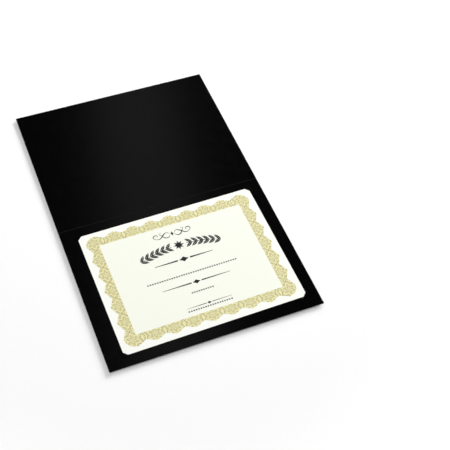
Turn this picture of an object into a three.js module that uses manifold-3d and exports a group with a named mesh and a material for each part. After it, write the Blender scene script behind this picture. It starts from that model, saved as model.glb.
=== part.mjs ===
// Certificate holder: a folded cover of black card that holds one letter-size certificate.
// The cover lies open and flat. The fold runs along X, the back cover lies towards -Y with the
// certificate on it, and the front cover lies towards +Y with its foil-stamped outer face down.
// Millimetres, +Z up, origin on the table under the middle of the fold.
import * as THREE from 'three';
import { mergeVertices } from 'three/addons/utils/BufferGeometryUtils.js';
import Module from 'manifold-3d';

const wasm = await Module();
wasm.setup();

// Cover stock
const coverWidth = 324;
const coverHeight = 251;
const stockThickness = 0.4;

// Scored strip between the two covers: a bead inside, a groove outside
const foldHalf = 1;
const foldClearance = 0.02;
const scoreHalf = 0.7;
const scoreDepth = 0.16;

// Certificate, a letter sheet that lies a little off centre and askew
const sheetWidth = 279.4;
const sheetHeight = 215.9;
const sheetThickness = 0.2;
const sheetLift = 0.05;
const sheetShiftX = 3.3;
const sheetShiftY = 1.3;
const sheetTurn = THREE.MathUtils.degToRad(0.6);

// Corner slits: each tip of the sheet dips through one and lies under a raised lip of card
const tuckDepth = 4.2;
const slitLength = 19;
const slitWidth = 1.2;
const rampLength = 0.42;
const tipHeight = 0.03;
const tipHeadroom = 0.04;
const pocketClearance = 0.6;
const lipMargin = 1;
const lipSlope = 1.6;

// Foil frame on the outer face of the front cover, measured to the middle of its band
const frameInsetSide = 23;
const frameInsetEnd = 26.5;
const foilThickness = 0.08;
const foilRecess = 0.02;
const seatDepth = 0.12;
const seatClearance = 0.15;

// Rope-twist band
const bandWidth = 4.6;
const ropePitch = 8;
const ropeStrand = 18;
const ropeRail = 0.45;
const ropeGap = 0.85;

// Thin lines inside the band
const lineWidth = 0.7;
const outerLineInset = 5.6;
const innerLineInset = 7.9;

// Corner rosettes
const bossRadius = 4.3;
const bossLobes = 4;
const bossLobe = 1.3;
const bossSteps = 40;
const bossGap = 0.5;
const bossLeaf = { inner: 1.3, outer: 4.7, bulge: 1.2 };

// Corner fans
const fanInset = 9.3;
const fanLeg = 25;
const fanTip = 1.3;
const fanLobes = 4;
const fanLobeRadius = 1.4;
const fanLobeEye = 0.55;
const fanLeaf = { inner: 4, margin: 2.3, bulge: 1.3 };
const fanMiddleLeaf = { inner: 5.2, outer: 11.6, bulge: 1.5 };

const curveSteps = 4;
const weldDistance = 1e-4;
const tallCut = 2;
const quarterTurn = Math.PI / 2;
const corners = [
  { name: 'top_left', x: -1, y: -1 },
  { name: 'top_right', x: 1, y: -1 },
  { name: 'bottom_left', x: -1, y: 1 },
  { name: 'bottom_right', x: 1, y: 1 },
];

const coverStock = new THREE.MeshStandardMaterial({ color: 0x0c0c0d, roughness: 0.55, metalness: 0 });
const certificatePaper = new THREE.MeshStandardMaterial({ color: 0xfdfbec, roughness: 0.8, metalness: 0 });
const goldFoil = new THREE.MeshStandardMaterial({ color: 0xc9b283, roughness: 0.3, metalness: 1 });

// Makes a prism of an outline, from height low to height high.
function prism(outline, low, high) {
  const options = { depth: high - low, bevelEnabled: false, curveSegments: curveSteps };
  return new THREE.ExtrudeGeometry(outline, options).translate(0, 0, low);
}

// Turns a closed geometry into a solid that can be joined and cut.
function toSolid(geometry) {
  const bare = geometry.clone();
  bare.deleteAttribute('normal');
  bare.deleteAttribute('uv');
  const merged = mergeVertices(bare, weldDistance);
  const vertProperties = new Float32Array(merged.attributes.position.array);
  const triVerts = new Uint32Array(merged.index.array);
  return new wasm.Manifold(new wasm.Mesh({ numProp: 3, vertProperties, triVerts }));
}

// Turns a solid back into a geometry with flat faces.
function toGeometry(solid) {
  const mesh = solid.getMesh();
  const indexed = new THREE.BufferGeometry();
  indexed.setAttribute('position', new THREE.BufferAttribute(new Float32Array(mesh.vertProperties), 3));
  indexed.setIndex(new THREE.BufferAttribute(new Uint32Array(mesh.triVerts), 1));
  const flat = indexed.toNonIndexed();
  flat.computeVertexNormals();
  return flat;
}

function rectangle(left, bottom, right, top) {
  return new THREE.Shape()
    .moveTo(left, bottom)
    .lineTo(right, bottom)
    .lineTo(right, top)
    .lineTo(left, top);
}

// A rectangular line of a given width about the rectangle of half sides halfX and halfY.
function rectangularLine(halfX, halfY, width) {
  const outerX = halfX + width / 2;
  const outerY = halfY + width / 2;
  const innerX = halfX - width / 2;
  const innerY = halfY - width / 2;
  const ring = rectangle(-outerX, -outerY, outerX, outerY);
  ring.holes.push(rectangle(-innerX, -innerY, innerX, innerY));
  return ring;
}

// A pointed leaf between two points, bulging to both sides.
function leaf(from, to, bulge) {
  const middle = from.clone().add(to).multiplyScalar(0.5);
  const along = to.clone().sub(from).normalize();
  const side = new THREE.Vector2(-along.y, along.x).multiplyScalar(bulge);
  const path = new THREE.Path();
  path.moveTo(from.x, from.y);
  path.quadraticCurveTo(middle.x - side.x, middle.y - side.y, to.x, to.y);
  path.quadraticCurveTo(middle.x + side.x, middle.y + side.y, from.x, from.y);
  return path;
}

function polar(radius, angle) {
  return new THREE.Vector2(radius * Math.cos(angle), radius * Math.sin(angle));
}

// Scored fold: the card is pressed up from outside into a bead along the inside of the fold.
function foldCrease() {
  const edge = foldHalf - foldClearance;
  const profile = new THREE.Shape();
  profile.moveTo(-edge, 0);
  profile.lineTo(-scoreHalf, 0);
  profile.bezierCurveTo(-scoreHalf / 2, 0, -scoreHalf / 2, scoreDepth, 0, scoreDepth);
  profile.bezierCurveTo(scoreHalf / 2, scoreDepth, scoreHalf / 2, 0, scoreHalf, 0);
  profile.lineTo(edge, 0);
  profile.lineTo(edge, stockThickness);
  profile.lineTo(scoreHalf, stockThickness);
  const beadTop = stockThickness + scoreDepth;
  profile.bezierCurveTo(scoreHalf / 2, stockThickness, scoreHalf / 2, beadTop, 0, beadTop);
  profile.bezierCurveTo(-scoreHalf / 2, beadTop, -scoreHalf / 2, stockThickness, -scoreHalf, stockThickness);
  profile.lineTo(-edge, stockThickness);
  const strip = prism(profile, -coverWidth / 2, coverWidth / 2);
  const alongX = new THREE.Matrix4().makeBasis(
    new THREE.Vector3(0, 1, 0),
    new THREE.Vector3(0, 0, 1),
    new THREE.Vector3(1, 0, 0),
  );
  return strip.applyMatrix4(alongX);
}

// Place of the sheet on the back cover.
function sheetPlacement() {
  const placement = new THREE.Matrix4().makeRotationZ(sheetTurn);
  return placement.setPosition(sheetShiftX, sheetShiftY - coverHeight / 2, 0);
}

// Frame of one corner of the sheet: origin at the tip, X out along the mitre, Y along the slit.
function cornerPlacement(corner) {
  const placement = new THREE.Matrix4().makeRotationZ(Math.atan2(corner.y, corner.x));
  placement.setPosition(corner.x * sheetWidth / 2, corner.y * sheetHeight / 2, 0);
  return sheetPlacement().multiply(placement);
}

// The triangle of paper past a line across the corner, grown on its two outer sides.
function tipTriangle(base, grow) {
  const tip = grow * Math.SQRT2;
  return new THREE.Shape().moveTo(-base, -base - tip).lineTo(tip, 0).lineTo(-base, base + tip);
}

// A slit is a slot with round ends across the corner.
function slitOutline() {
  const reach = (slitLength - slitWidth) / 2;
  const slot = new THREE.Shape();
  slot.absarc(-tuckDepth, reach, slitWidth / 2, 0, Math.PI, false);
  slot.absarc(-tuckDepth, -reach, slitWidth / 2, Math.PI, 2 * Math.PI, false);
  return slot;
}

// The lip of card over a tip: a low triangular rise with sloping sides, cut straight along the slit.
function tipLip(rise, place) {
  const rim = stockThickness / 4;
  const slope = { bevelEnabled: true, bevelSegments: 2, bevelSize: lipSlope, bevelThickness: rise };
  const outline = tipTriangle(tuckDepth + 2 * lipSlope, lipMargin);
  const hill = new THREE.ExtrudeGeometry(outline, { depth: rim, ...slope });
  hill.translate(0, 0, stockThickness - rim).applyMatrix4(place);
  const sheetSide = rectangle(-slitLength, -slitLength, -tuckDepth, slitLength);
  return toSolid(hill).subtract(toSolid(prism(sheetSide, 0, tallCut).applyMatrix4(place)));
}

// Back cover: flat card with four slits. Outside each slit the card rises into a lip over the tip.
function backCover() {
  const pocketCeiling = tipHeight + sheetThickness + tipHeadroom;
  const panel = rectangle(-coverWidth / 2, -coverHeight, coverWidth / 2, -foldHalf);
  let cover = toSolid(prism(panel, 0, stockThickness));
  for (const corner of corners) {
    const place = cornerPlacement(corner);
    const pocket = prism(tipTriangle(tuckDepth, pocketClearance), -tallCut, pocketCeiling);
    const slit = prism(slitOutline(), -tallCut, tallCut);
    cover = cover.add(tipLip(pocketCeiling, place));
    cover = cover.subtract(toSolid(pocket.applyMatrix4(place)));
    cover = cover.subtract(toSolid(slit.applyMatrix4(place)));
  }
  return toGeometry(cover);
}

// Profile of the sheet across a corner: flat on the card, down through the slit, flat under the lip.
function tuckProfile() {
  const top = stockThickness + sheetLift + sheetThickness;
  const bottom = stockThickness + sheetLift;
  const inner = -tuckDepth - rampLength / 2;
  const outer = -tuckDepth + rampLength / 2;
  const start = inner - slitWidth;
  const end = tuckDepth;
  return new THREE.Shape()
    .moveTo(start, bottom)
    .lineTo(inner, bottom)
    .lineTo(outer, tipHeight)
    .lineTo(end, tipHeight)
    .lineTo(end, tipHeight + sheetThickness)
    .lineTo(outer, tipHeight + sheetThickness)
    .lineTo(inner, top)
    .lineTo(start, top);
}

// Certificate: a flat sheet whose four corners dip through the slits.
function certificate() {
  const bottom = stockThickness + sheetLift;
  const top = bottom + sheetThickness;
  const outline = rectangle(-sheetWidth / 2, -sheetHeight / 2, sheetWidth / 2, sheetHeight / 2);
  const column = toSolid(prism(outline, -tallCut, tallCut).applyMatrix4(sheetPlacement()));
  let sheet = toSolid(prism(outline, bottom, top).applyMatrix4(sheetPlacement()));
  const acrossSlit = new THREE.Matrix4().makeBasis(
    new THREE.Vector3(1, 0, 0),
    new THREE.Vector3(0, 0, 1),
    new THREE.Vector3(0, -1, 0),
  );
  const tipSide = rectangle(-tuckDepth - rampLength / 2 - slitWidth / 2, -slitLength, slitLength, slitLength);
  for (const corner of corners) {
    const place = cornerPlacement(corner);
    const bent = prism(tuckProfile(), -slitLength / 2, slitLength / 2).applyMatrix4(acrossSlit);
    const tuck = toSolid(bent.applyMatrix4(place)).intersect(column);
    const flatTip = toSolid(prism(tipSide, -tallCut, tallCut).applyMatrix4(place));
    sheet = sheet.subtract(flatTip).add(tuck);
  }
  return toGeometry(sheet);
}

// Middle of the foil frame, and half its sides at the middle of the band.
const frameMiddle = coverHeight / 2;
const frameHalfX = coverWidth / 2 - frameInsetSide;
const frameHalfY = coverHeight / 2 - frameInsetEnd;

// A length of the rope band along X, centred on the origin. Slanting leaves cut it into strands.
function ropeBand(length) {
  const band = rectangle(-length / 2, -bandWidth / 2, length / 2, bandWidth / 2);
  const half = new THREE.Vector2(ropeStrand / 2, bandWidth / 2 - ropeRail);
  const turns = Math.floor((length - ropeStrand - 2 * ropeRail) / ropePitch);
  for (let turn = 0; turn <= turns; turn += 1) {
    const centre = new THREE.Vector2((turn - turns / 2) * ropePitch, 0);
    band.holes.push(leaf(centre.clone().sub(half), centre.clone().add(half), ropeGap));
  }
  return band;
}

// The rosette's edge is a circle that swells into four lobes along the diagonals.
function bossOutline(grow) {
  const points = [];
  for (let step = 0; step < bossSteps; step += 1) {
    const angle = step / bossSteps * 2 * Math.PI;
    points.push(polar(bossRadius + grow - bossLobe * Math.cos(bossLobes * angle), angle));
  }
  return new THREE.Shape(points);
}

function boss() {
  const outline = bossOutline(0);
  for (let lobe = 0; lobe < bossLobes; lobe += 1) {
    const angle = (lobe + 0.5) * quarterTurn;
    outline.holes.push(leaf(polar(bossLeaf.inner, angle), polar(bossLeaf.outer, angle), bossLeaf.bulge));
  }
  return outline;
}

// The fan's hollow edge is a quarter circle about a point inside the frame, tangent to both tips.
const fanArcRadius = fanLeg - 2 * fanTip;

function onFanArc(radius, angle) {
  return polar(radius, angle).addScalar(fanLeg);
}

function fanLobeAngle(lobe) {
  return 3 * quarterTurn - (lobe + 1) * quarterTurn / (fanLobes + 1);
}

// The fan fills a right-angled corner at the origin: two straight legs with round tips, joined by the
// hollow edge, which carries small round lobes.
function fanOutline(grow) {
  const radius = fanArcRadius - grow;
  const lobeRadius = fanLobeRadius + grow;
  const lobeReach = 2 * Math.asin(lobeRadius / (2 * radius));
  const fan = new THREE.Shape();
  fan.absarc(fanLeg, fanTip, fanTip + grow, -quarterTurn, quarterTurn, false);
  let angle = 3 * quarterTurn;
  const followArc = (end) => {
    const half = (angle - end) / 2;
    const control = onFanArc(radius / Math.cos(half), angle - half);
    const stop = onFanArc(radius, end);
    fan.quadraticCurveTo(control.x, control.y, stop.x, stop.y);
    angle = end;
  };
  for (let lobe = 0; lobe < fanLobes; lobe += 1) {
    const lobeAngle = fanLobeAngle(lobe);
    followArc(lobeAngle + lobeReach);
    const middle = onFanArc(radius, lobeAngle);
    const first = lobeAngle + quarterTurn + lobeReach / 2;
    const last = lobeAngle + 3 * quarterTurn - lobeReach / 2;
    fan.absarc(middle.x, middle.y, lobeRadius, first, last, false);
    angle = lobeAngle - lobeReach;
  }
  followArc(2 * quarterTurn);
  fan.absarc(fanTip, fanLeg, fanTip + grow, 0, 2 * quarterTurn, false);
  fan.lineTo(-grow, -grow);
  return fan;
}

// Leaves radiate from the fan's corner towards the lobes, and each lobe has a round eye.
function fan() {
  const outline = fanOutline(0);
  for (let lobe = 0; lobe < fanLobes; lobe += 1) {
    const middle = onFanArc(fanArcRadius, fanLobeAngle(lobe));
    const from = middle.clone().setLength(fanLeaf.inner);
    const to = middle.clone().setLength(middle.length() - fanLeaf.margin);
    outline.holes.push(leaf(from, to, fanLeaf.bulge));
    outline.holes.push(new THREE.Path().absarc(middle.x, middle.y, fanLobeEye, 0, 4 * quarterTurn, false));
  }
  const diagonal = quarterTurn / 2;
  const from = polar(fanMiddleLeaf.inner, diagonal);
  outline.holes.push(leaf(from, polar(fanMiddleLeaf.outer, diagonal), fanMiddleLeaf.bulge));
  return outline;
}

// A flat shape of the foil frame turned and placed about the middle of the frame.
function onFrame(geometry, x, y, turn) {
  return geometry.rotateZ(turn).translate(x, frameMiddle + y, 0);
}

// Each island of the foil frame: its name, its foil shape, its seat and where it goes.
function foilIslands() {
  const bossReach = bossRadius + bossGap;
  const longBand = 2 * (frameHalfX - bossReach);
  const shortBand = 2 * (frameHalfY - bossReach);
  const islands = [];
  const bands = [
    { name: 'foil_band_top', length: longBand, x: 0, y: -frameHalfY, turn: 0 },
    { name: 'foil_band_bottom', length: longBand, x: 0, y: frameHalfY, turn: Math.PI },
    { name: 'foil_band_left', length: shortBand, x: -frameHalfX, y: 0, turn: -quarterTurn },
    { name: 'foil_band_right', length: shortBand, x: frameHalfX, y: 0, turn: quarterTurn },
  ];
  for (const { name, length, x, y, turn } of bands) {
    const endX = length / 2 + seatClearance;
    const endY = bandWidth / 2 + seatClearance;
    islands.push({ name, foil: ropeBand(length), seat: rectangle(-endX, -endY, endX, endY), x, y, turn });
  }
  const lines = { foil_line_outer: outerLineInset, foil_line_inner: innerLineInset };
  for (const [name, inset] of Object.entries(lines)) {
    const halfX = frameHalfX - inset;
    const halfY = frameHalfY - inset;
    const seat = rectangularLine(halfX, halfY, lineWidth + 2 * seatClearance);
    islands.push({ name, foil: rectangularLine(halfX, halfY, lineWidth), seat, x: 0, y: 0, turn: 0 });
  }
  for (const corner of corners) {
    const x = corner.x * frameHalfX;
    const y = corner.y * frameHalfY;
    const name = `foil_boss_${corner.name}`;
    islands.push({ name, foil: boss(), seat: bossOutline(seatClearance), x, y, turn: 0 });
  }
  for (const corner of corners) {
    const x = corner.x * (frameHalfX - fanInset);
    const y = corner.y * (frameHalfY - fanInset);
    const turn = Math.atan2(-corner.y, -corner.x) - quarterTurn / 2;
    const name = `foil_fan_${corner.name}`;
    islands.push({ name, foil: fan(), seat: fanOutline(seatClearance), x, y, turn });
  }
  return islands;
}

// Front cover: flat card whose outer face is pressed in where the foil sits.
function frontCover(islands) {
  const panel = rectangle(-coverWidth / 2, foldHalf, coverWidth / 2, coverHeight);
  let cover = toSolid(prism(panel, 0, stockThickness));
  for (const { seat, x, y, turn } of islands) {
    cover = cover.subtract(toSolid(onFrame(prism(seat, -tallCut, seatDepth), x, y, turn)));
  }
  return toGeometry(cover);
}

const holder = new THREE.Group();

function addPiece(name, geometry, material) {
  const mesh = new THREE.Mesh(geometry, material);
  mesh.name = name;
  holder.add(mesh);
}

const islands = foilIslands();
addPiece('back_cover', backCover(), coverStock);
addPiece('front_cover', frontCover(islands), coverStock);
addPiece('fold_crease', foldCrease(), coverStock);
addPiece('certificate', certificate(), certificatePaper);
for (const { name, foil, x, y, turn } of islands) {
  const sheet = prism(foil, foilRecess, foilRecess + foilThickness);
  addPiece(name, onFrame(sheet, x, y, turn), goldFoil);
}

export default holder;
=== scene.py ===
# %% [markdown]
# # A certificate holder
#
# The holder is one sheet of black card, folded along its long side. It lies open on a pale floor. Its
# lower half carries a letter-size certificate whose corners are tucked through slits, and the outer face
# of its upper half carries a frame of stamped gold foil, which shows when the cover is folded shut.
#
# We load the measured parts first. They stay where they are, and every piece that we model takes its size
# and its place from them.

# %% Load the measured parts
import math

import bmesh
import bpy
from mathutils import Matrix, Quaternion, Vector


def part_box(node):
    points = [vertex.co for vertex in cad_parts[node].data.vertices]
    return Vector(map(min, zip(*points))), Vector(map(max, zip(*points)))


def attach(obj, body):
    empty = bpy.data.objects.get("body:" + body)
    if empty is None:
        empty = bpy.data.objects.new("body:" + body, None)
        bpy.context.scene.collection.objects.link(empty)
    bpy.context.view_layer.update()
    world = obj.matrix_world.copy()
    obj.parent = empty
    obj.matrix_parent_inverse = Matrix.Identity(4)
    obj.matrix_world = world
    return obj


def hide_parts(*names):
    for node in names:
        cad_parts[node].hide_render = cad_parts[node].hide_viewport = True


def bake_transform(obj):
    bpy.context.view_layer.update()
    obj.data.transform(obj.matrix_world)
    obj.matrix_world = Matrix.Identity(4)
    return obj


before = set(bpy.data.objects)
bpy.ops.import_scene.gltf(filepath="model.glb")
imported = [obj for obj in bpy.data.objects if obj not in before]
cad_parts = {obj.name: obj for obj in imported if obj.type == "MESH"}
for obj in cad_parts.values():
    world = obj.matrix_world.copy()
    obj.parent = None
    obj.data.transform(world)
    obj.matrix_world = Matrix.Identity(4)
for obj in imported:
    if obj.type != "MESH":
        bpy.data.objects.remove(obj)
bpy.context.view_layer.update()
print("parts:", ", ".join(sorted(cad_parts)))

# %% [markdown]
# ## A few tools for the bench
#
# Card, paper and foil are thinner than a millimetre, and some of Blender's operators weld points that lie
# closer than a tenth of a unit. So each piece is modelled with one unit to the millimetre, and only the
# finished mesh is brought down to metres. The helpers below select by place, add and apply a modifier,
# and finish a piece.

# %% Helpers
MM = 0.001
TOUCH = 1e-3
SMOOTH_ANGLE = math.radians(30)


def deselect_all():
    """Leaves nothing selected, in object mode."""
    if bpy.context.object and bpy.context.object.mode != "OBJECT":
        bpy.ops.object.mode_set(mode="OBJECT")
    bpy.ops.object.select_all(action="DESELECT")


def activate(piece):
    """Makes piece the only selected object and the active one."""
    deselect_all()
    piece.select_set(True)
    bpy.context.view_layer.objects.active = piece


def select_where(piece, kind, test):
    """In edit mode, selects the vertices or faces of piece whose middle passes the test."""
    bpy.ops.mesh.select_mode(type=kind)
    bpy.ops.mesh.select_all(action="DESELECT")
    mesh = bmesh.from_edit_mesh(piece.data)
    if kind == "VERT":
        for vertex in mesh.verts:
            vertex.select_set(test(vertex.co))
    else:
        for face in mesh.faces:
            face.select_set(test(face.calc_center_median()))
    mesh.select_flush_mode()
    bmesh.update_edit_mesh(piece.data)


def apply_modifier(piece, kind, **settings):
    """Adds a modifier to piece and applies it."""
    activate(piece)
    modifier = piece.modifiers.new(kind.title(), kind)
    for setting, value in settings.items():
        setattr(modifier, setting, value)
    bpy.ops.object.modifier_apply(modifier=modifier.name)


def place(piece, matrix):
    """Moves piece by a matrix in millimetres and puts its new place into its mesh."""
    activate(piece)
    piece.matrix_world = matrix @ piece.matrix_world
    bpy.ops.object.transform_apply(location=True, rotation=True, scale=True)


def join(name, parts):
    """Joins parts into one object of that name."""
    deselect_all()
    for part in parts:
        part.select_set(True)
    bpy.context.view_layer.objects.active = parts[0]
    bpy.ops.object.join()
    parts[0].name = name
    return parts[0]


def copy_at(part, matrix):
    """A copy of part with its own mesh, placed by a matrix."""
    twin = part.copy()
    twin.data = part.data.copy()
    twin.matrix_world = matrix @ part.matrix_world
    bpy.context.scene.collection.objects.link(twin)
    return twin


def finish_piece(piece, name, material):
    """Brings a piece from millimetres to metres, smooths its round faces and gives it its finish."""
    place(piece, Matrix.Scale(MM, 4))
    bpy.ops.object.shade_smooth_by_angle(angle=SMOOTH_ANGLE)
    piece.name = name
    piece.data.name = name
    piece.data.materials.clear()
    piece.data.materials.append(material)
    size = piece.dimensions / MM
    print(f"{name}: {len(piece.data.polygons)} faces, {size.x:.1f} x {size.y:.1f} x {size.z:.2f} mm")
    return piece


def box_mm(node):
    """Lowest and highest corner of a measured part, in millimetres."""
    low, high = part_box(node)
    return low / MM, high / MM


# %% [markdown]
# ## Sizes from the measured parts
#
# The front cover gives the outline and the thickness of the card, and the back cover mirrors it. The
# crease gives the height of the bead in the fold, and the certificate gives the place of the sheet. The
# sheet is a letter sheet, laid in by hand, so it is a little askew.

# %% Sizes
front_low, front_high = box_mm("front_cover")
crease_high = box_mm("fold_crease")[1]
sheet_low, sheet_high = box_mm("certificate")

cover_width = front_high.x - front_low.x
cover_height = front_high.y
card_thickness = front_high.z
fold_half = front_low.y
bead_height = crease_high.z - card_thickness

SHEET_WIDTH = 279.4
SHEET_HEIGHT = 215.9
SHEET_THICKNESS = 0.2
SHEET_TURN = math.radians(0.6)
sheet_middle = (sheet_low + sheet_high) / 2
sheet_top = sheet_high.z
tip_height = sheet_low.z
sheet_frame = Matrix.Translation((sheet_middle.x, sheet_middle.y, 0)) @ Matrix.Rotation(SHEET_TURN, 4, "Z")
print(f"cover {cover_width:.1f} x {cover_height:.1f} mm, sheet top at {sheet_top:.2f} mm")


# %% [markdown]
# Each corner of the sheet gets a frame of its own: its origin is the tip, X points out along the mitre
# and Y runs along the slit. With it, one function serves all four corners.

# %% Corner frames
def corner_frame(side_x, side_y):
    """Frame at one tip of the sheet, in millimetres."""
    tip = Matrix.Translation((side_x * SHEET_WIDTH / 2, side_y * SHEET_HEIGHT / 2, 0))
    return sheet_frame @ tip @ Matrix.Rotation(math.atan2(side_y, side_x), 4, "Z")


corner_frames = [corner_frame(x, y) for x in (-1, 1) for y in (-1, 1)]
TUCK_DEPTH = 4.2
print("corners:", len(corner_frames), "tucked", TUCK_DEPTH, "mm deep")


def bisect_across(piece, corner, depth, along, reach):
    """Cuts the faces near a corner: at a depth behind the tip, or along the mitre at a side step."""
    to_corner = corner.inverted()
    select_where(piece, "FACE", lambda p: (to_corner @ p).xy.length < reach)
    point = corner @ Vector((-depth, 0, 0)) if along == "slit" else corner @ Vector((0, depth, 0))
    normal = corner.to_3x3() @ (Vector((1, 0, 0)) if along == "slit" else Vector((0, 1, 0)))
    bpy.ops.mesh.bisect(plane_co=point, plane_no=normal)


# %% [markdown]
# ## Finishes
#
# A material is a small tree of nodes. A few helpers keep the trees readable: they add a node and set or
# link its inputs, do one step of arithmetic, mix two colours, or ease a value from one range into
# another.

# %% Node helpers
def add_node(tree, kind, options=None, inputs=None):
    """Adds a node, sets its options, and sets or links its inputs."""
    node = tree.nodes.new(kind)
    for option, value in (options or {}).items():
        setattr(node, option, value)
    for socket, value in (inputs or {}).items():
        if isinstance(value, bpy.types.NodeSocket):
            tree.links.new(value, node.inputs[socket])
        else:
            node.inputs[socket].default_value = value
    return node


def maths(tree, operation, first, second=0.0):
    """One step of arithmetic on values."""
    return add_node(tree, "ShaderNodeMath", {"operation": operation}, {0: first, 1: second}).outputs[0]


def mix_colours(tree, share, first, second):
    """The first colour where share is 0, the second where it is 1."""
    mix = add_node(tree, "ShaderNodeMix", {"data_type": "RGBA"}, {0: share, 6: first, 7: second})
    return mix.outputs[2]


def new_material(name):
    """A material with its tree and its Principled shader."""
    material = bpy.data.materials.new(name)
    material.use_nodes = True
    tree = material.node_tree
    return material, tree, tree.nodes["Principled BSDF"]


def map_range(tree, value, low, high, to_low, to_high):
    """Brings value from the range low to high into the range to_low to to_high, eased at both ends."""
    options = {"interpolation_type": "SMOOTHSTEP"}
    inputs = {0: value, 1: low, 2: high, 3: to_low, 4: to_high}
    return add_node(tree, "ShaderNodeMapRange", options, inputs).outputs[0]


# %% [markdown]
# Card and paper are both felts of fibre, so they share one group: a slow mottle, as fibre lies thicker
# and thinner in the sheet, and a fine height for the tooth of the surface. Each material places the group
# with its own scales.

# %% Fibre group
MOTTLE_DETAIL = 4.0
TOOTH_DETAIL = 3.0
TOOTH_ROUGHNESS = 0.6


def make_fibre_group():
    """Group that gives a mottle mask and a fine height from a point."""
    group = bpy.data.node_groups.new("fibre", "ShaderNodeTree")
    group.interface.new_socket("Point", in_out="INPUT", socket_type="NodeSocketVector")
    group.interface.new_socket("Mottle scale", in_out="INPUT", socket_type="NodeSocketFloat")
    group.interface.new_socket("Tooth scale", in_out="INPUT", socket_type="NodeSocketFloat")
    group.interface.new_socket("Mottle", in_out="OUTPUT", socket_type="NodeSocketFloat")
    group.interface.new_socket("Tooth", in_out="OUTPUT", socket_type="NodeSocketFloat")
    given = group.nodes.new("NodeGroupInput")
    result = group.nodes.new("NodeGroupOutput")
    mottle = add_node(group, "ShaderNodeTexNoise", {}, {
        "Vector": given.outputs["Point"],
        "Scale": given.outputs["Mottle scale"],
        "Detail": MOTTLE_DETAIL,
    })
    tooth = add_node(group, "ShaderNodeTexNoise", {}, {
        "Vector": given.outputs["Point"],
        "Scale": given.outputs["Tooth scale"],
        "Detail": TOOTH_DETAIL,
        "Roughness": TOOTH_ROUGHNESS,
    })
    group.links.new(mottle.outputs["Fac"], result.inputs["Mottle"])
    group.links.new(tooth.outputs["Fac"], result.inputs["Tooth"])
    return group


fibre_group = make_fibre_group()


def add_fibre(tree, mottle_scale, tooth_scale):
    """Places the fibre group on Object coordinates."""
    point = add_node(tree, "ShaderNodeTexCoord").outputs["Object"]
    options = {"node_tree": fibre_group}
    inputs = {"Point": point, "Mottle scale": mottle_scale, "Tooth scale": tooth_scale}
    return add_node(tree, "ShaderNodeGroup", options, inputs)


def add_bump(tree, shader, height, strength, distance):
    """Lets a height ruffle the surface of a shader."""
    inputs = {"Strength": strength, "Distance": distance, "Height": height}
    bump = add_node(tree, "ShaderNodeBump", {}, inputs)
    tree.links.new(bump.outputs["Normal"], shader.inputs["Normal"])


# %% [markdown]
# ### Black card
#
# The card is dyed through and calendered to a low satin sheen. It drinks nearly all light, so the colour
# is almost black, and a little reflection keeps a soft band of light across the panel. The cut edges are
# rubbed a shade paler, and the crown of the fold is painted the same paler shade, partly as rubbed wear
# and partly as a painted highlight along the crease.

# %% Black card
CARD_DARK = (0.0004, 0.0004, 0.0005, 1)
CARD_PALE = (0.0009, 0.0009, 0.0010, 1)
# Paler shade for the rubbed edges, which also paints a highlight along the crown of the fold.
CARD_WEAR_AND_FOLD_HIGHLIGHT = (0.008, 0.008, 0.0083, 1)
CARD_MOTTLE = 60.0
CARD_TOOTH = 1800.0
CARD_BUMP = (0.12, 0.00005)
CARD_ROUGHNESS = (0.18, 0.21)
CARD_SPECULAR = 0.045
MOTTLE_RANGE = (0.3, 0.7)
RUBBED_EDGE = 0.35
# Width of the painted highlight along the fold.
FOLD_HIGHLIGHT_REACH = 0.8


def make_card():
    """Satin black card with rubbed edges and a painted highlight along the fold."""
    material, tree, shader = new_material("black_card")
    fibre = add_fibre(tree, CARD_MOTTLE, CARD_TOOTH)
    tone = mix_colours(tree, fibre.outputs["Mottle"], CARD_DARK, CARD_PALE)
    point = add_node(tree, "ShaderNodeTexCoord").outputs["Object"]
    split = add_node(tree, "ShaderNodeSeparateXYZ", {}, {0: point})
    from_fold = maths(tree, "ABSOLUTE", split.outputs["Y"])
    from_side = maths(tree, "SUBTRACT", cover_width / 2 * MM, maths(tree, "ABSOLUTE", split.outputs["X"]))
    from_end = maths(tree, "SUBTRACT", cover_height * MM, from_fold)
    from_edge = maths(tree, "MINIMUM", from_side, from_end)
    rubbed_edge = map_range(tree, from_edge, 0.0, RUBBED_EDGE * MM, 1.0, 0.0)
    # Painted highlight: the crown of the fold is painted paler, partly as rubbed wear.
    painted_fold_highlight = map_range(tree, from_fold, 0.0, FOLD_HIGHLIGHT_REACH * MM, 1.0, 0.0)
    wear_and_fold_highlight = maths(tree, "MAXIMUM", rubbed_edge, painted_fold_highlight)
    tree.links.new(mix_colours(tree, wear_and_fold_highlight, tone, CARD_WEAR_AND_FOLD_HIGHLIGHT), shader.inputs["Base Color"])
    roughness = map_range(tree, fibre.outputs["Mottle"], *MOTTLE_RANGE, *CARD_ROUGHNESS)
    tree.links.new(roughness, shader.inputs["Roughness"])
    shader.inputs["Specular IOR Level"].default_value = CARD_SPECULAR
    add_bump(tree, shader, fibre.outputs["Tooth"], *CARD_BUMP)
    return material


card_finish = make_card()
print("finish:", card_finish.name)

# %% [markdown]
# ## The card
#
# The cover is cut and scored from one flat sheet. A grid is the right start, because a grid already has
# rows: we add close rows across the fold, so that it can bend, and fine cells at the four slits.

# %% A flat sheet of card
GRID_COLUMNS = 40
GRID_ROWS = 62
FOLD_ROWS = 6

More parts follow.
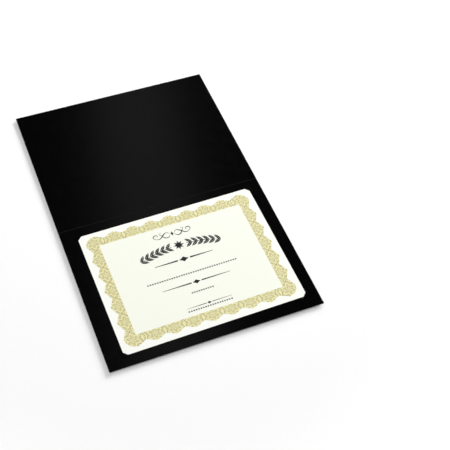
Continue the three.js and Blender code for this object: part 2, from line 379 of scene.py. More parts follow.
deselect_all()
bpy.ops.mesh.primitive_grid_add(x_subdivisions=GRID_COLUMNS, y_subdivisions=GRID_ROWS, size=1)
card = bpy.context.object
card.scale = (cover_width, 2 * cover_height, 1)
place(card, Matrix.Translation((0, 0, card_thickness)))
bpy.ops.object.mode_set(mode="EDIT")
for step in range(1, FOLD_ROWS + 1):
    for side in (-1, 1):
        bpy.ops.mesh.select_all(action="SELECT")
        bpy.ops.mesh.bisect(plane_co=(0, side * fold_half * step / FOLD_ROWS, 0), plane_no=(0, 1, 0))
print(f"flat card: {GRID_COLUMNS} columns and {GRID_ROWS} rows, with {2 * FOLD_ROWS} cuts across the fold")

# %% [markdown]
# The score is pressed from outside, which leaves a low bead along the inside of the fold. We lift the
# middle row and let proportional editing carry its neighbours along.

# %% The scored bead
SCORE_HALF = 0.7

select_where(card, "VERT", lambda p: abs(p.y) < TOUCH)
bpy.ops.transform.translate(
    value=(0, 0, bead_height),
    use_proportional_edit=True,
    proportional_edit_falloff="SMOOTH",
    proportional_size=SCORE_HALF,
)
print(f"bead: {bead_height:.2f} mm high along the fold")

# %% [markdown]
# A die cuts four slits, and the tip of the sheet pushes the card outside each slit up into a low lip. We
# refine the cells there, cut a hairline along the slit with bisect, and delete the sliver. Then the two
# sides of the cut are drawn apart where the sheet goes through, and the lip is lifted over the tip.
# Proportional editing would pull on both sides of a cut, but it leaves hidden points alone, so the other
# side is hidden while one side moves.

# %% Slits and lips
CORNER_REACH = 18
CORNER_CUTS = 7
SLIT_LENGTH = 19
SLIT_HAIR = 0.12
SLIT_OPENING = 0.28
SLIT_FALL = 1.0
LIP_MARGIN = 1.5
LIP_FALL = 2.6
SHEET_HEADROOM = 0.04
WELD = 0.03
lip_rise = tip_height + SHEET_THICKNESS + SHEET_HEADROOM


def move_side(piece, corner, side, test, value, fall):
    """Moves the points on one side of a slit that pass a test, and draws their neighbours along."""
    to_corner = corner.inverted()
    select_where(piece, "VERT", lambda p: side * ((to_corner @ p).x + TUCK_DEPTH) < 0)
    bpy.ops.mesh.hide(unselected=False)
    select_where(piece, "VERT", lambda p: test(to_corner @ p))
    bpy.ops.transform.translate(
        value=value,
        use_proportional_edit=True,
        proportional_edit_falloff="SMOOTH",
        proportional_size=fall,
    )
    bpy.ops.mesh.reveal(select=False)


def cut_slit(piece, corner):
    """Cuts one slit, opens it for the sheet and lifts the card outside it into a lip."""
    to_corner = corner.inverted()
    select_where(piece, "FACE", lambda p: (to_corner @ p).xy.length < CORNER_REACH)
    bpy.ops.mesh.subdivide(number_cuts=CORNER_CUTS)
    for side in (-1, 1):
        bisect_across(piece, corner, TUCK_DEPTH + side * SLIT_HAIR / 2, "slit", CORNER_REACH)
        bisect_across(piece, corner, side * SLIT_LENGTH / 2, "mitre", CORNER_REACH)

    def in_slit(point):
        local = to_corner @ point
        return abs(local.x + TUCK_DEPTH) < SLIT_HAIR / 2 and abs(local.y) < SLIT_LENGTH / 2

    def on_rim(local):
        return abs(abs(local.x + TUCK_DEPTH) - SLIT_HAIR / 2) < TOUCH and abs(local.y) < TUCK_DEPTH

    def over_tip(local):
        return local.xy.length < CORNER_REACH and local.x + abs(local.y) < LIP_MARGIN * math.sqrt(2)

    select_where(piece, "FACE", in_slit)
    bpy.ops.mesh.delete(type="FACE")
    for side in (-1, 1):
        opening = corner.to_3x3() @ Vector((side * SLIT_OPENING, 0, 0))
        move_side(piece, corner, side, on_rim, opening, SLIT_FALL)
    move_side(piece, corner, 1, over_tip, (0, 0, lip_rise), LIP_FALL)


for corner in corner_frames:
    cut_slit(card, corner)
bpy.ops.mesh.select_all(action="SELECT")
bpy.ops.mesh.remove_doubles(threshold=WELD)
bpy.ops.object.mode_set(mode="OBJECT")
print("slits:", len(corner_frames), "with lips", round(lip_rise, 2), "mm high")

# %% [markdown]
# Solidify gives the card its thickness, downwards from the inner face, so the bead turns into a groove
# outside and each lip into a pocket. A very small bevel takes the knife edge off the outer rim. It has a
# single segment, whose steep edges stay sharp, so that the flat card beside it keeps a flat shade.

# %% Thickness and edges
CARD_BEVEL = 0.06


def at_rim(point):
    """True for a point on the outer side walls of the card."""
    return abs(point.x) > cover_width / 2 - TOUCH or abs(point.y) > cover_height - TOUCH


apply_modifier(card, "SOLIDIFY", thickness=card_thickness, offset=-1)
bpy.ops.object.mode_set(mode="EDIT")
select_where(card, "FACE", at_rim)
bpy.ops.mesh.region_to_loop()
bpy.ops.mesh.bevel(offset=CARD_BEVEL, segments=1, affect="EDGES")
bpy.ops.object.mode_set(mode="OBJECT")
finish_piece(card, "card_cover", card_finish)
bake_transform(card)
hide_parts("back_cover", "front_cover", "fold_crease")

# %% [markdown]
# ### Certificate paper
#
# The sheet is white at the margin, and the printed field inside the border has a warm ivory tint. The
# tint belongs to the paper's own material. A Mapping node brings points into the frame of the print, in
# millimetres, so that the tint and the border pattern turn with the sheet.

# %% Print frame
PRINT_SHIFT = Vector((-0.2, 0.4, 0))
LOBE_PITCH_X = 29.1
LOBE_PITCH_Y = 28.4
LOBES_X = 9
LOBES_Y = 7
FIELD_STEP = 3.0
row_x = (LOBES_X - 1) / 2 * LOBE_PITCH_X
row_y = (LOBES_Y - 1) / 2 * LOBE_PITCH_Y
field_x = row_x - FIELD_STEP
field_y = row_y - FIELD_STEP
print_frame = sheet_frame @ Matrix.Translation(PRINT_SHIFT)
print_middle = print_frame.translation * MM
print(f"printed field: {2 * field_x:.1f} x {2 * field_y:.1f} mm")


def print_point(tree):
    """Point in the frame of the print, in millimetres."""
    point = add_node(tree, "ShaderNodeTexCoord").outputs["Object"]
    return add_node(tree, "ShaderNodeMapping", {"vector_type": "TEXTURE"}, {
        "Vector": point,
        "Location": (print_middle.x, print_middle.y, 0),
        "Rotation": (0, 0, SHEET_TURN),
        "Scale": (MM, MM, MM),
    }).outputs[0]


# %% Certificate paper
PAPER_WHITE = (0.925, 0.935, 0.875, 1)
PAPER_FIBRE = (0.95, 0.96, 0.905, 1)
PAPER_IVORY = (0.91, 0.925, 0.825, 1)
PAPER_MOTTLE = 90.0
PAPER_TOOTH = 1500.0
PAPER_BUMP = (0.15, 0.00004)
PAPER_ROUGHNESS = 0.7
PAPER_SPECULAR = 0.25


def make_paper():
    """Matt paper, white outside and ivory inside the border."""
    material, tree, shader = new_material("certificate_paper")
    fibre = add_fibre(tree, PAPER_MOTTLE, PAPER_TOOTH)
    white = mix_colours(tree, fibre.outputs["Mottle"], PAPER_WHITE, PAPER_FIBRE)
    split = add_node(tree, "ShaderNodeSeparateXYZ", {}, {0: print_point(tree)})
    inside_x = maths(tree, "LESS_THAN", maths(tree, "ABSOLUTE", split.outputs["X"]), field_x)
    inside_y = maths(tree, "LESS_THAN", maths(tree, "ABSOLUTE", split.outputs["Y"]), field_y)
    field = maths(tree, "MULTIPLY", inside_x, inside_y)
    tree.links.new(mix_colours(tree, field, white, PAPER_IVORY), shader.inputs["Base Color"])
    shader.inputs["Roughness"].default_value = PAPER_ROUGHNESS
    shader.inputs["Specular IOR Level"].default_value = PAPER_SPECULAR
    add_bump(tree, shader, fibre.outputs["Tooth"], *PAPER_BUMP)
    return material


paper_finish = make_paper()
print("finish:", paper_finish.name)

# %% [markdown]
# ## The certificate
#
# The sheet lies flat on the card, and its four tips dip through the slits. We cut the sheet twice across
# each corner, so that the ramp down through the slit is one narrow strip, and lower what lies beyond it.

# %% The sheet with tucked tips
SHEET_COLUMNS = 28
SHEET_ROWS = 22
TIP_REACH = 16
RAMP_LENGTH = 0.42

deselect_all()
bpy.ops.mesh.primitive_grid_add(x_subdivisions=SHEET_COLUMNS, y_subdivisions=SHEET_ROWS, size=1)
sheet = bpy.context.object
sheet.scale = (SHEET_WIDTH, SHEET_HEIGHT, 1)
place(sheet, Matrix.Translation((0, 0, sheet_top)) @ sheet_frame)
bpy.ops.object.mode_set(mode="EDIT")
for corner in corner_frames:
    for side in (-1, 1):
        bisect_across(sheet, corner, TUCK_DEPTH + side * RAMP_LENGTH / 2, "slit", TIP_REACH)
    to_tip = corner.inverted()
    ramp_end = -TUCK_DEPTH + RAMP_LENGTH / 2 - TOUCH
    select_where(sheet, "VERT", lambda p: (to_tip @ p).x > ramp_end and (to_tip @ p).xy.length < TIP_REACH)
    bpy.ops.transform.translate(value=(0, 0, tip_height + SHEET_THICKNESS - sheet_top))
bpy.ops.object.mode_set(mode="OBJECT")
apply_modifier(sheet, "SOLIDIFY", thickness=SHEET_THICKNESS, offset=-1)
finish_piece(sheet, "certificate_sheet", paper_finish)
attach(sheet, "back")
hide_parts("certificate")

# %% [markdown]
# ### Border ink
#
# The border is a guilloche, the web of fine crossing waves that banknotes and certificates have carried
# for two centuries. Around each rosette the rings are waved by the angle, once forwards and once
# backwards, and the two sets of rings cross. Under the web, slower rings with fewer and wider petals
# shade the rosette. One rosette stands in each lobe, so we fold the point into one cell of the rows and
# draw a single rosette there.

# %% Border ink
INK_GOLD = (0.335, 0.275, 0.075, 1)
INK_GOLD_PALE = (0.70, 0.64, 0.305, 1)
INK_LINE = (0.93, 0.91, 0.59, 1)
BORDER_ROUGHNESS = 0.6
BORDER_SPECULAR = 0.25
RING_SHIFT = 4.0
RING_STEP = 3.2
RING_PETALS = 10
RING_WAVE = 2.2
WEB_LOW = 0.6
WEB_HIGH = 1.0
SLOW_RING_STEP = 7.0
SLOW_PETALS = 6
SLOW_WAVE = 1.9


def from_rosette(tree, value, row, pitch):
    """Distance along one axis from the nearest rosette, which stands a little outside its row."""
    outside = maths(tree, "ABSOLUTE", value)
    at_edge = maths(tree, "GREATER_THAN", outside, row - pitch / 2)
    shifted = maths(tree, "SUBTRACT", outside, maths(tree, "MULTIPLY", at_edge, RING_SHIFT))
    inputs = {0: shifted, 1: pitch / 2, 2: -pitch / 2}
    return add_node(tree, "ShaderNodeMath", {"operation": "WRAP"}, inputs).outputs[0]


def make_border_ink():
    """Pale gold ink with a guilloche of lighter lines."""
    material, tree, shader = new_material("border_ink")
    split = add_node(tree, "ShaderNodeSeparateXYZ", {}, {0: print_point(tree)})
    across = from_rosette(tree, split.outputs["X"], row_x, LOBE_PITCH_X)
    up = from_rosette(tree, split.outputs["Y"], row_y, LOBE_PITCH_Y)
    across_squared = maths(tree, "POWER", across, 2.0)
    up_squared = maths(tree, "POWER", up, 2.0)
    radius = maths(tree, "SQRT", maths(tree, "ADD", across_squared, up_squared))
    angle = maths(tree, "ARCTAN2", up, across)
    petals = maths(tree, "COSINE", maths(tree, "MULTIPLY", angle, RING_PETALS))
    wave = maths(tree, "MULTIPLY", petals, RING_WAVE)
    rings = maths(tree, "MULTIPLY", radius, 2 * math.pi / RING_STEP)
    forward = maths(tree, "SINE", maths(tree, "ADD", rings, wave))
    backward = maths(tree, "SINE", maths(tree, "SUBTRACT", rings, wave))
    lines = maths(tree, "MAXIMUM", forward, backward)
    web = map_range(tree, lines, WEB_LOW, WEB_HIGH, 0.0, 1.0)
    slow_rings = maths(tree, "MULTIPLY", radius, 2 * math.pi / SLOW_RING_STEP)
    slow_petals = maths(tree, "COSINE", maths(tree, "MULTIPLY", angle, SLOW_PETALS))
    slow_wave = maths(tree, "MULTIPLY", slow_petals, SLOW_WAVE)
    shade = maths(tree, "SINE", maths(tree, "ADD", slow_rings, slow_wave))
    pale = map_range(tree, shade, -1.0, 1.0, 0.0, 1.0)
    ground = mix_colours(tree, pale, INK_GOLD, INK_GOLD_PALE)
    tree.links.new(mix_colours(tree, web, ground, INK_LINE), shader.inputs["Base Color"])
    fibre = add_fibre(tree, PAPER_MOTTLE, PAPER_TOOTH)
    shader.inputs["Roughness"].default_value = BORDER_ROUGHNESS
    shader.inputs["Specular IOR Level"].default_value = BORDER_SPECULAR
    add_bump(tree, shader, fibre.outputs["Tooth"], *PAPER_BUMP)
    return material


border_finish = make_border_ink()
print("finish:", border_finish.name)

# %% [markdown]
# ## The printed border
#
# The outer edge of the border is a row of pointed lobes, each drawn with seven small arcs, and the inner
# edge is straight. One thin disc is modelled and copied to every arc, the discs are joined to a plain
# frame with a Boolean, and the printed field is cut out of the middle. The Boolean leaves the outline of
# every disc in the flat faces, so the mesh is welded, its pinholes are filled, and a limited dissolve
# clears the faces at the end.

# %% One arc
INK_SINK = 0.02
INK_PROUD = 0.02
ARC_RADIUS = 3.6
ARC_POINTS = 32
ink_depth = INK_SINK + INK_PROUD
ink_middle = sheet_top - INK_SINK + ink_depth / 2
ink_top = ink_middle + ink_depth / 2

deselect_all()
bpy.ops.mesh.primitive_cylinder_add(vertices=ARC_POINTS, radius=ARC_RADIUS, depth=ink_depth)
arc_disc = bpy.context.object
place(arc_disc, Matrix.Translation((0, 0, ink_middle)))
print(f"arc: radius {ARC_RADIUS} mm, in a layer of ink {ink_depth:.2f} mm deep")

# %% [markdown]
# The arcs of a lobe step back from its peak to the notch between two lobes. At each corner two half lobes
# meet, and a few arcs in a ring around the corner of the rows join their peaks.

# %% Arcs along the rows and round the corners
LOBE_HEIGHT = 15.6
ARC_DROP = (0.0, 1.9, 3.9, 5.9)
CORNER_ARCS = 3
arc_reach = LOBE_HEIGHT - ARC_RADIUS


def lobe_arcs(count, pitch):
    """Places along a row, and heights above it, of its arcs from corner to corner."""
    places = []
    last = len(ARC_DROP) - 1
    row_end = (count - 1) / 2 * pitch
    for lobe in range(count):
        for step in range(-last, last + 1):
            along = lobe * pitch - row_end + step * pitch / (2 * last + 1)
            if abs(along) < row_end + TOUCH:
                places.append((along, arc_reach - ARC_DROP[abs(step)]))
    return places


arc_spots = []
for side in (-1, 1):
    arc_spots += [(along, side * (row_y + height)) for along, height in lobe_arcs(LOBES_X, LOBE_PITCH_X)]
    arc_spots += [(side * (row_x + height), along) for along, height in lobe_arcs(LOBES_Y, LOBE_PITCH_Y)]
for side_x in (-1, 1):
    for side_y in (-1, 1):
        for arc in range(1, CORNER_ARCS + 1):
            angle = math.pi / 2 * arc / (CORNER_ARCS + 1)
            ring_x = row_x + arc_reach * math.cos(angle)
            ring_y = row_y + arc_reach * math.sin(angle)
            arc_spots.append((side_x * ring_x, side_y * ring_y))
arc_row = join("arc_row", [copy_at(arc_disc, Matrix.Translation((x, y, 0))) for x, y in arc_spots])
bpy.data.objects.remove(arc_disc)
print("arcs:", len(arc_spots))

# %% The frame, the join and the cut
FRAME_STEP = 9.0
CUT_HEIGHT = 4.0
INK_WELD = 0.005
FLAT_ANGLE = math.radians(1)


def block(name, half_x, half_y, height):
    """A flat block in the layer of ink."""
    deselect_all()
    bpy.ops.mesh.primitive_cube_add(size=1)
    made = bpy.context.object
    made.name = name
    made.scale = (2 * half_x, 2 * half_y, height)
    place(made, Matrix.Translation((0, 0, ink_middle)))
    return made


border = block("border", row_x + FRAME_STEP, row_y + FRAME_STEP, ink_depth)
printed_field = block("printed_field", field_x, field_y, CUT_HEIGHT)
apply_modifier(border, "BOOLEAN", operation="UNION", solver="EXACT", object=arc_row, use_self=True)
apply_modifier(border, "BOOLEAN", operation="DIFFERENCE", solver="EXACT", object=printed_field)
for tool in (arc_row, printed_field):
    bpy.data.objects.remove(tool)
bpy.ops.object.mode_set(mode="EDIT")
bpy.ops.mesh.select_all(action="SELECT")
bpy.ops.mesh.remove_doubles(threshold=INK_WELD)
bpy.ops.mesh.fill_holes(sides=0)
bpy.ops.mesh.select_all(action="SELECT")
bpy.ops.mesh.dissolve_limited(angle_limit=FLAT_ANGLE)
bpy.ops.object.mode_set(mode="OBJECT")
place(border, print_frame)
finish_piece(border, "border_print", border_finish)
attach(border, "back")

# %% [markdown]
# ### Black ink
#
# The ornaments and the ruled lines are printed in black. A little unevenness keeps the ink from looking
# like a hole in the paper.

# %% Black ink
INK_BLACK = (0.004, 0.004, 0.0045, 1)
INK_BLACK_WORN = (0.014, 0.014, 0.015, 1)
INK_MOTTLE = 700.0
INK_ROUGHNESS = 0.55
INK_SPECULAR = 0.15


def make_black_ink():
    """Black printing ink."""
    material, tree, shader = new_material("black_ink")
    fibre = add_fibre(tree, INK_MOTTLE, PAPER_TOOTH)
    tone = mix_colours(tree, fibre.outputs["Mottle"], INK_BLACK, INK_BLACK_WORN)
    tree.links.new(tone, shader.inputs["Base Color"])
    shader.inputs["Roughness"].default_value = INK_ROUGHNESS
    shader.inputs["Specular IOR Level"].default_value = INK_SPECULAR
    return material


ink_finish = make_black_ink()
print("finish:", ink_finish.name)

# %% [markdown]
# ## Ornaments in ink
#
# A blank certificate is set out with printer's ornaments. They come from three small helpers: a star or
# lozenge pulled from a circle, a line pulled from a plane, and a pen stroke along a curve. A flat face
# becomes a layer of ink when it is extruded down into the paper.

# %% Stars and lozenges
def press_ink(piece):
    """Extrudes a flat piece, which lies at the top of the ink, down through the layer."""
    activate(piece)
    bpy.ops.object.mode_set(mode="EDIT")
    bpy.ops.mesh.select_all(action="SELECT")
    bpy.ops.mesh.extrude_region_move(TRANSFORM_OT_translate={"value": (0, 0, -ink_depth)})
    bpy.ops.mesh.select_all(action="SELECT")
    bpy.ops.mesh.normals_make_consistent(inside=False)
    bpy.ops.object.mode_set(mode="OBJECT")


def ink_star(rays, half_x, half_y, waist):
    """A star with an even number of rays, whose waist is a share of its reach."""
    deselect_all()
    bpy.ops.mesh.primitive_circle_add(vertices=2 * rays, radius=1, fill_type="NGON")
    star = bpy.context.object
    bpy.ops.object.mode_set(mode="EDIT")
    select_where(star, "VERT", lambda p: round(math.atan2(p.y, p.x) / math.pi * rays) % 2 == 1)
    bpy.ops.transform.resize(value=(waist, waist, 1), center_override=(0, 0, 0))
    bpy.ops.object.mode_set(mode="OBJECT")
    star.scale = (half_x, half_y, 1)
    place(star, Matrix.Translation((0, 0, ink_top)))
    press_ink(star)
    return star


# %% Lines and pen strokes
LINE_END = 0.3
STROKE_STEPS = 10


def ink_line(start, end, weight):
    """A line along X that has its full weight at start and tapers towards end."""
    deselect_all()
    bpy.ops.mesh.primitive_plane_add(size=1)
    line = bpy.context.object
    line.scale = (abs(end - start), weight, 1)
    place(line, Matrix.Translation(((start + end) / 2, 0, ink_top)))
    bpy.ops.object.mode_set(mode="EDIT")
    select_where(line, "VERT", lambda p: abs(p.x - end) < TOUCH)
    bpy.ops.transform.resize(value=(1, LINE_END, 1), center_override=(0, 0, 0))
    bpy.ops.object.mode_set(mode="OBJECT")
    press_ink(line)
    return line


def pen_stroke(knots):
    """A stroke through knots of x, y and half width, pressed flat into the layer of ink."""
    deselect_all()
    bpy.ops.curve.primitive_bezier_curve_add()
    stroke = bpy.context.object
    points = stroke.data.splines[0].bezier_points
    points.add(len(knots) - len(points))
    for point, (x, y, half_width) in zip(points, knots):
        point.co = (x, y, 0)
        point.radius = half_width
        point.handle_left_type = "AUTO"
        point.handle_right_type = "AUTO"
    stroke.data.bevel_depth = 1
    stroke.data.bevel_resolution = 1
    stroke.data.resolution_u = STROKE_STEPS
    stroke.data.use_fill_caps = True
    bpy.ops.object.convert(target="MESH")
    thickest = max(half_width for x, y, half_width in knots)
    stroke.scale = (1, 1, ink_depth / 2 / thickest)
    place(stroke, Matrix.Translation((0, 0, ink_middle)))
    return stroke


# %% [markdown]
# ## Laurel arch
#
# The heading is an arch of laurel: leaves in pairs along a bowed stem, from both ends towards a star in
# the middle. One leaf is modelled from a circle, split along its rib, and copied along the arch.

# %% One leaf
LEAF_LENGTH = 11.0
LEAF_WIDTH = 4.6
LEAF_POINT = 2.4
LEAF_RIB = 0.25
LEAF_POINTS = 16

deselect_all()
bpy.ops.mesh.primitive_circle_add(vertices=LEAF_POINTS, radius=1, fill_type="NGON")
leaf = bpy.context.object
leaf.scale = (LEAF_LENGTH / 2, LEAF_WIDTH / 2, 1)
place(leaf, Matrix.Translation((LEAF_LENGTH / 2, 0, ink_top)))
bpy.ops.object.mode_set(mode="EDIT")
select_where(leaf, "VERT", lambda p: p.x > LEAF_LENGTH - TOUCH)
bpy.ops.transform.translate(value=(LEAF_POINT, 0, 0))
for side in (-1, 1):
    bpy.ops.mesh.select_all(action="SELECT")
    bpy.ops.mesh.bisect(plane_co=(0, side * LEAF_RIB / 2, 0), plane_no=(0, 1, 0))
select_where(leaf, "FACE", lambda p: abs(p.y) < LEAF_RIB / 2 - TOUCH)
bpy.ops.mesh.delete(type="FACE")
press_ink(leaf)
print("leaf:", len(leaf.data.polygons), "faces")

# %% Leaves along the arch
ARCH_MIDDLE_X = -2.0
ARCH_TOP = 42.0
ARCH_RADIUS = 187.0
ARCH_SPAN = math.radians(19.8)
ARCH_GAP = math.radians(3.6)
LEAF_PAIRS = 6
LEAF_TILT = math.radians(38)
STEM_KNOTS = (0.25, 0.6, 0.45)
STAR_RAYS = 8
STAR_REACH = 8.5
STAR_WAIST = 0.5
arch_centre = Vector((ARCH_MIDDLE_X, ARCH_TOP - ARCH_RADIUS, 0))


def arch_frame(angle):
    """Frame on the arch at an angle from its top: X along the stem, Y outwards."""
    turn = Matrix.Rotation(-angle, 4, "Z")
    return Matrix.Translation(arch_centre) @ turn @ Matrix.Translation((0, ARCH_RADIUS, 0))


def stem_knots(side):
    """Knots of one half of the stem, from its foot towards the star."""
    knots = []
    for knot, half_width in enumerate(STEM_KNOTS):
        share = knot / (len(STEM_KNOTS) - 1)
        spot = arch_frame(side * (ARCH_SPAN + (ARCH_GAP - ARCH_SPAN) * share)).translation
        knots.append((spot.x, spot.y, half_width))
    return knots


laurel_parts = []
for side in (-1, 1):
    heading = 0 if side < 0 else math.pi
    for pair in range(LEAF_PAIRS):
        angle = side * (ARCH_GAP + (ARCH_SPAN - ARCH_GAP) * (pair + 1) / LEAF_PAIRS)
        for tilt in (-LEAF_TILT, LEAF_TILT):
            laurel_parts.append(copy_at(leaf, arch_frame(angle) @ Matrix.Rotation(heading + tilt, 4, "Z")))
    laurel_parts.append(pen_stroke(stem_knots(side)))
bpy.data.objects.remove(leaf)
arch_star = ink_star(STAR_RAYS, STAR_REACH, STAR_REACH, STAR_WAIST)
place(arch_star, arch_frame(0))
laurel = join("laurel", laurel_parts + [arch_star])
place(laurel, print_frame)
finish_piece(laurel, "laurel_arch", ink_finish)
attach(laurel, "back")

# %% [markdown]
# ## Pen flourish
#
# Above the arch is a writing master's flourish: two scrolls that mirror each other about a lozenge. A
# broad pen gives a thin and a thick part to each stroke, so every knot of the curve has a width of its
# own.

# %% Pen flourish
FLOURISH_SPOT = Vector((-3.9, 65.6, 0))
SCROLL = (
    (3.2, 0.4, 0.15), (8, 4.4, 0.5), (14, 1.4, 0.95), (20, -3.6, 0.7), (27, -2.4, 0.35),
    (29.4, 1.8, 0.6), (26, 4.6, 0.8), (22.6, 2.4, 0.4), (24.6, 0.6, 0.15),
)
TENDRIL = (
    (3.2, -0.6, 0.15), (7, -4.8, 0.6), (12, -4.4, 0.8),
    (16.4, 1.2, 0.5), (19, 5.4, 0.3), (15.4, 6.4, 0.15),
)
LOZENGE_RAYS = 4
LOZENGE = (2.2, 4.2)
LOZENGE_WAIST = 0.6

strokes = []
for side in (-1, 1):
    for knots in (SCROLL, TENDRIL):
        strokes.append(pen_stroke([(side * x, y, half_width) for x, y, half_width in knots]))
flourish = join("flourish", strokes + [ink_star(LOZENGE_RAYS, *LOZENGE, LOZENGE_WAIST)])
place(flourish, print_frame @ Matrix.Translation(FLOURISH_SPOT))
finish_piece(flourish, "pen_flourish", ink_finish)
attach(flourish, "back")

# %% [markdown]
# ## Ruled lines
#
# Below the arch are lines to write on. The main ones are printer's dashes, two tapered lines about a
# lozenge, and the small ones are rows of dots.

# %% Dashes
DASHES = {
    "upper": (-3.9, 15.4, 46.0, 2.7),
    "middle": (-1.0, -28.7, 53.0, 2.2),
    "lower": (3.0, -68.6, 35.0, 1.3),
}
DASH_LOZENGE = (2.9, 1.7)
DASH_GAP = 3.6


def printers_dash(x, y, half, weight):
    """Two lines that taper away from a lozenge."""
    parts = [ink_line(side * DASH_GAP * weight, side * half, weight) for side in (-1, 1)]
    reach = [weight * share for share in DASH_LOZENGE]
    parts.append(ink_star(LOZENGE_RAYS, *reach, LOZENGE_WAIST))
    dash = join("dash", parts)
    place(dash, Matrix.Translation((x, y, 0)))
    return dash


dashes = [printers_dash(*values) for values in DASHES.values()]
print("dashes:", ", ".join(DASHES))

# %% Rows of dots
DOT_ROWS = {"long": (-1.0, -11.5, 69.0), "short": (2.0, -45.2, 16.0), "lowest": (3.0, -74.0, 33.0)}
DOT_RAYS = 6
DOT_STEP = 3.7
DOT_REACH = 1.3
DOT_WAIST = 0.92


def dotted_row(x, y, half):
    """Dots at an even step from end to end."""
    count = round(2 * half / DOT_STEP)
    dot = ink_star(DOT_RAYS, DOT_REACH, DOT_REACH, DOT_WAIST)
    places = [Matrix.Translation((x - half + 2 * half * step / count, y, 0)) for step in range(count + 1)]
    row = join("row", [copy_at(dot, spot) for spot in places])
    bpy.data.objects.remove(dot)
    return row


rows = [dotted_row(*values) for values in DOT_ROWS.values()]
ruled_lines = join("ruled_lines", dashes + rows)
place(ruled_lines, print_frame)
finish_piece(ruled_lines, "ruled_lines", ink_finish)
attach(ruled_lines, "back")

# %% [markdown]
# ### Gold foil
#
# The foil is a film of metal a few thousandths of a millimetre thick. It takes up the tooth of the card,
# and its colour drifts from champagne to copper along the bands. The finer die work of the rosettes, fans
# and thin lines is rougher, and its foil is painted a darker grey pink as painted shade, to look duller.

# %% Gold foil
FOIL_CHAMPAGNE = (0.84, 0.76, 0.54, 1)
FOIL_COPPER = (0.78, 0.51, 0.32, 1)
# Darker grey pink for the fine die work: painted shade, a darker copy of the gold.
FOIL_ROSE_SHADED = (0.56, 0.46, 0.40, 1)
FOIL_GREY_SHADED = (0.46, 0.40, 0.37, 1)
FOIL_MOTTLE = 400.0
FOIL_TOOTH = 2200.0
FOIL_BUMP = (0.2, 0.00004)
BAND_ROUGHNESS = (0.22, 0.36)
FINE_ROUGHNESS = (0.32, 0.46)
DRIFT_SCALE = 9.0
DRIFT_DETAIL = 1.0
DRIFT_RANGE = (0.42, 0.62)


def make_foil(name, light, deep, roughness_range):
    """Stamped metal foil whose colour drifts between a light and a deep tone."""
    material, tree, shader = new_material(name)
    point = add_node(tree, "ShaderNodeTexCoord").outputs["Object"]
    inputs = {"Vector": point, "Scale": DRIFT_SCALE, "Detail": DRIFT_DETAIL}
    drift = add_node(tree, "ShaderNodeTexNoise", {}, inputs)
    share = map_range(tree, drift.outputs["Fac"], *DRIFT_RANGE, 0.0, 1.0)
    tree.links.new(mix_colours(tree, share, light, deep), shader.inputs["Base Color"])
    fibre = add_fibre(tree, FOIL_MOTTLE, FOIL_TOOTH)
    roughness = map_range(tree, fibre.outputs["Mottle"], *MOTTLE_RANGE, *roughness_range)
    tree.links.new(roughness, shader.inputs["Roughness"])
    shader.inputs["Metallic"].default_value = 1.0
    add_bump(tree, shader, fibre.outputs["Tooth"], *FOIL_BUMP)
    return material


band_finish = make_foil("gold_foil", FOIL_CHAMPAGNE, FOIL_COPPER, BAND_ROUGHNESS)
# The fine foil is a rougher copy of the gold, painted darker as shade.
shaded_fine_finish = make_foil("shaded_fine_foil", FOIL_ROSE_SHADED, FOIL_GREY_SHADED, FINE_ROUGHNESS)
print("finishes:", band_finish.name, "and", shaded_fine_finish.name)

# %% [markdown]
# ## Foil frame
#
# The die leaves the foil with softly rounded rims. The measured islands already have the right outlines,
# so a copy of each is welded, and its outer face is inset and raised a little to give it those rims.

# %% Foil relief
FOIL_SLOPE = 0.13
FOIL_RISE = 0.07
FINE_NODES = ("foil_boss", "foil_fan", "foil_line")
foil_nodes = sorted(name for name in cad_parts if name.startswith("foil_"))


def stamped_relief(node):
    """A foil island with softly raised rims, from a copy of the measured one."""
    relief = bpy.data.objects.new(node.replace("foil_", "stamped_"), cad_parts[node].data.copy())
    bpy.context.scene.collection.objects.link(relief)
    place(relief, Matrix.Scale(1 / MM, 4))
    bpy.ops.object.mode_set(mode="EDIT")
    bpy.ops.mesh.select_all(action="SELECT")
    bpy.ops.mesh.remove_doubles(threshold=TOUCH)
    lowest = min(vertex.co.z for vertex in bmesh.from_edit_mesh(relief.data).verts)
    select_where(relief, "FACE", lambda p: p.z < lowest + TOUCH)
    bpy.ops.mesh.inset(thickness=FOIL_SLOPE, depth=FOIL_RISE, use_even_offset=False)
    bpy.ops.object.mode_set(mode="OBJECT")
    finish = shaded_fine_finish if node.startswith(FINE_NODES) else band_finish
    finish_piece(relief, relief.name, finish)
    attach(relief, "front")
    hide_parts(node)


for node in foil_nodes:
    stamped_relief(node)

# %% [markdown]
# ## Floor, light and camera
#
# The floor is plain white. It lies a little below the card, as under a card that isn't pressed quite
# flat, so that a soft shadow shows along the edges. Far from the card, where the lamps fade, it adds a
# light of its own to what the camera and mirrors see, so that it reads as white all the way to the wall.

# %% Floor
FLOOR_LEVEL = -0.0025
FLOOR_RADIUS = 9.0
FLOOR_POINTS = 96
WALL_HEIGHT = 4.0
FLOOR_COLOUR = (0.97, 0.97, 0.97, 1)
FLOOR_ROUGHNESS = 0.9
WHITE = (1, 1, 1, 1)
FLOOR_GLOW = 0.75
GLOW_NEAR = 0.35
GLOW_FAR = 1.0


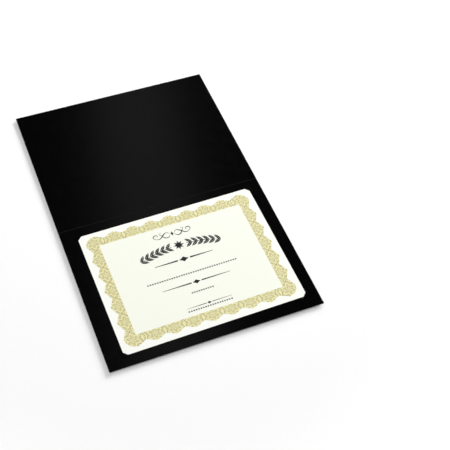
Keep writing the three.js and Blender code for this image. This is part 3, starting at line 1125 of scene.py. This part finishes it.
def make_floor_paper():
    """White paper that glows far from the card, for the camera and for mirrors."""
    material, tree, shader = new_material("floor_paper")
    shader.inputs["Base Color"].default_value = FLOOR_COLOUR
    shader.inputs["Roughness"].default_value = FLOOR_ROUGHNESS
    shader.inputs["Specular IOR Level"].default_value = 0.0
    shader.inputs["Emission Color"].default_value = WHITE
    ray = add_node(tree, "ShaderNodeLightPath")
    seen = maths(tree, "MAXIMUM", ray.outputs["Is Camera Ray"], ray.outputs["Is Glossy Ray"])
    seen = maths(tree, "MAXIMUM", seen, ray.outputs["Is Transmission Ray"])
    point = add_node(tree, "ShaderNodeTexCoord").outputs["Object"]
    away = add_node(tree, "ShaderNodeVectorMath", {"operation": "LENGTH"}, {0: point}).outputs["Value"]
    glow = map_range(tree, away, GLOW_NEAR, GLOW_FAR, 0.0, FLOOR_GLOW)
    tree.links.new(maths(tree, "MULTIPLY", seen, glow), shader.inputs["Emission Strength"])
    return material


deselect_all()
bpy.ops.mesh.primitive_circle_add(
    vertices=FLOOR_POINTS,
    radius=FLOOR_RADIUS,
    fill_type="NGON",
    location=(0, 0, FLOOR_LEVEL),
)
floor = bpy.context.object
floor.name = "floor"
bpy.ops.object.mode_set(mode="EDIT")
bpy.ops.mesh.select_mode(type="EDGE")
bpy.ops.mesh.select_all(action="SELECT")
bpy.ops.mesh.region_to_loop()
bpy.ops.mesh.extrude_edges_move(TRANSFORM_OT_translate={"value": (0, 0, WALL_HEIGHT)})
bpy.ops.object.mode_set(mode="OBJECT")
floor.data.materials.append(make_floor_paper())
print(f"floor: {FLOOR_LEVEL / MM:.1f} mm, with a wall {WALL_HEIGHT:.0f} m high around it")

# %% [markdown]
# Three soft lamps light the holder. A wide one hangs overhead, a key lamp stands low behind it on the
# right and throws the shadow towards us, and a narrow strip is there for the card to mirror as a band of
# sheen.

# %% Lamps
HOLDER_MIDDLE = (0, 0, 0)
OVERHEAD_SPOT = (-0.6, -0.45, 2.2)
OVERHEAD_SIZE = (2.2, 2.2)
OVERHEAD_POWER = 29.0
KEY_SPOT = (2.60, 2.10, 1.02)
KEY_SIZE = (2.0, 1.0)
KEY_POWER = 198.0
SHEEN_SPOT = (0.38, 1.18, 1.55)
SHEEN_AIM = (0.38, 1.181, 0)
SHEEN_TURN = math.radians(-11.5)
SHEEN_SIZE = (0.32, 1.5)
SHEEN_POWER = 3.1
WORLD_STRENGTH = 0.15


def soft_lamp(name, spot, aim, turn, size, power):
    """A rectangular soft lamp at spot that faces aim, turned about its own axis."""
    lamp = bpy.data.lights.new(name, "AREA")
    lamp.shape = "RECTANGLE"
    lamp.size, lamp.size_y = size
    lamp.energy = power
    holder = bpy.data.objects.new(name, lamp)
    bpy.context.scene.collection.objects.link(holder)
    holder.location = spot
    facing = (Vector(aim) - Vector(spot)).to_track_quat("-Z", "Y")
    holder.rotation_euler = (facing @ Quaternion((0, 0, 1), turn)).to_euler()
    holder.visible_camera = False
    print(f"{name}: {size[0]} x {size[1]} m, {power} W")


soft_lamp("overhead_lamp", OVERHEAD_SPOT, HOLDER_MIDDLE, 0, OVERHEAD_SIZE, OVERHEAD_POWER)
soft_lamp("key_lamp", KEY_SPOT, HOLDER_MIDDLE, 0, KEY_SIZE, KEY_POWER)
soft_lamp("sheen_lamp", SHEEN_SPOT, SHEEN_AIM, SHEEN_TURN, SHEEN_SIZE, SHEEN_POWER)
world = bpy.data.worlds.new("studio")
bpy.context.scene.world = world
world.use_nodes = True
world.node_tree.nodes["Background"].inputs["Color"].default_value = WHITE
world.node_tree.nodes["Background"].inputs["Strength"].default_value = WORLD_STRENGTH

# %% [markdown]
# The camera stands at the photograph's viewpoint, which was found by fitting the corners of the open
# cover.

# %% Camera
CAMERA_SPOT = Vector((-303.0, -867.9, 1150.5)) * MM
CAMERA_AIM = Vector((80.3, -70.1, 0)) * MM
CAMERA_ROLL = math.radians(4.61)
CAMERA_LENS = 75.97
CAMERA_SENSOR = 36.0

camera = bpy.data.objects.new("camera", bpy.data.cameras.new("camera"))
bpy.context.scene.collection.objects.link(camera)
camera.data.lens = CAMERA_LENS
camera.data.sensor_width = CAMERA_SENSOR
camera.location = CAMERA_SPOT
camera.rotation_mode = "QUATERNION"
look = (CAMERA_AIM - CAMERA_SPOT).to_track_quat("-Z", "Y")
camera.rotation_quaternion = look @ Quaternion((0, 0, 1), CAMERA_ROLL)
bpy.context.scene.camera = camera
bpy.context.scene.view_settings.view_transform = "Standard"
print("camera:", CAMERA_LENS, "mm lens")
